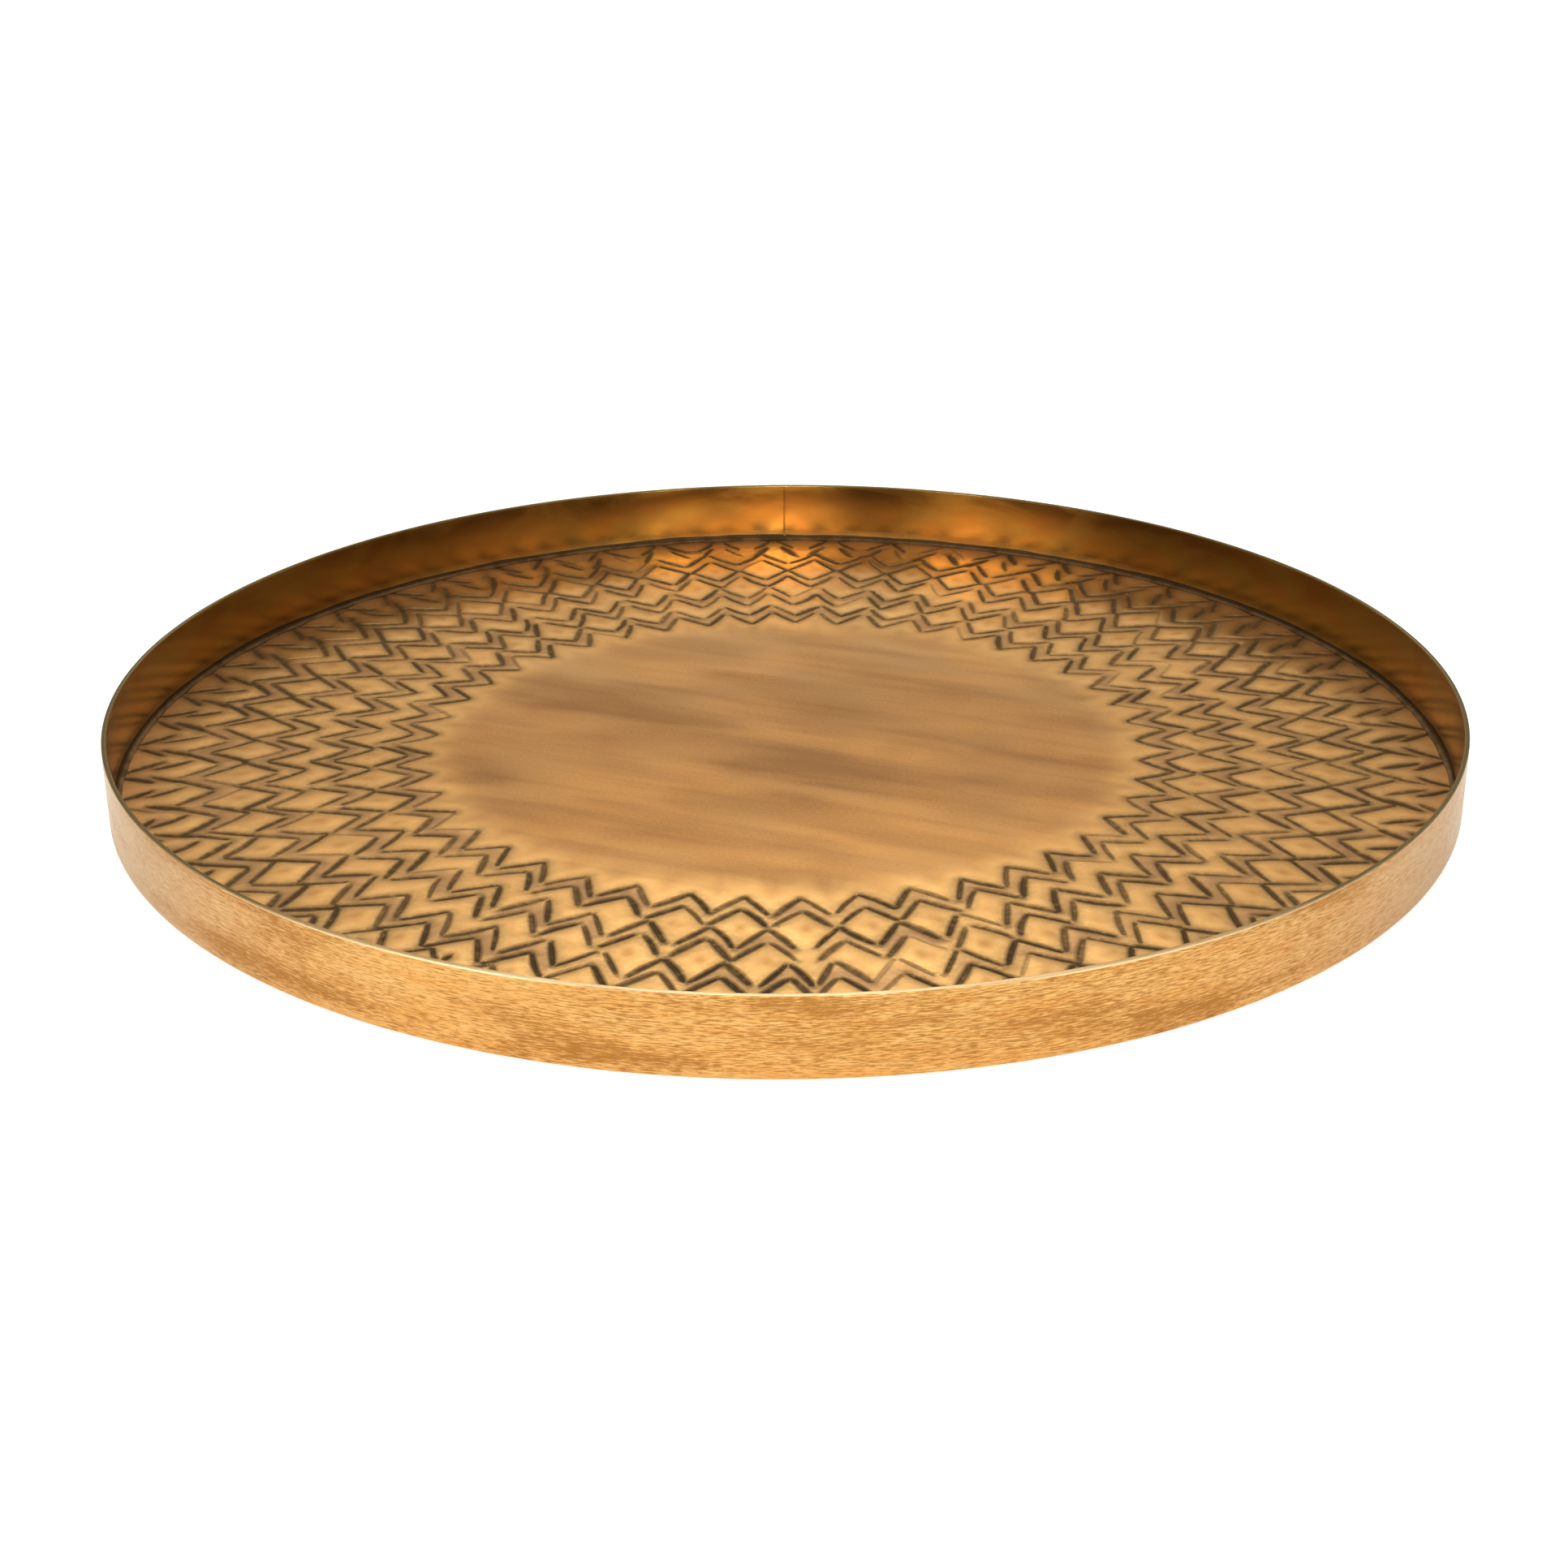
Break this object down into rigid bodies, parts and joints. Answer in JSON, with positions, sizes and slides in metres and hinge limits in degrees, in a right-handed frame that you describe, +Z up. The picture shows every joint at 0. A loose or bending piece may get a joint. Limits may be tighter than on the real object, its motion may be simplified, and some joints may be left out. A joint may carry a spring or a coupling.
{
  "type": "round brass tray",
  "caption": "Round brass serving tray with a low straight rim and a floor hand-punched with rings of chevrons round a plain centre.",
  "frame": {"origin": "centre of the underside, on the surface that the tray rests on", "axes": "+Z up through the open top; -Y towards the front of the pictured view; the band's closing seam is at +Y"},
  "size_m": [0.4, 0.4, 0.022],
  "materials": {
    "floor_brass": "satin, aged, with dark patina in the punched marks",
    "rim_brass": "brushed lengthwise, aged satin",
    "solder_brass": "dull, filed smooth"
  },
  "bodies": {
    "root": {"floor_disc": "floor_brass", "rim_band": "rim_brass", "corner_solder": "solder_brass", "seam_solder": "solder_brass"}
  },
  "joints": []
}
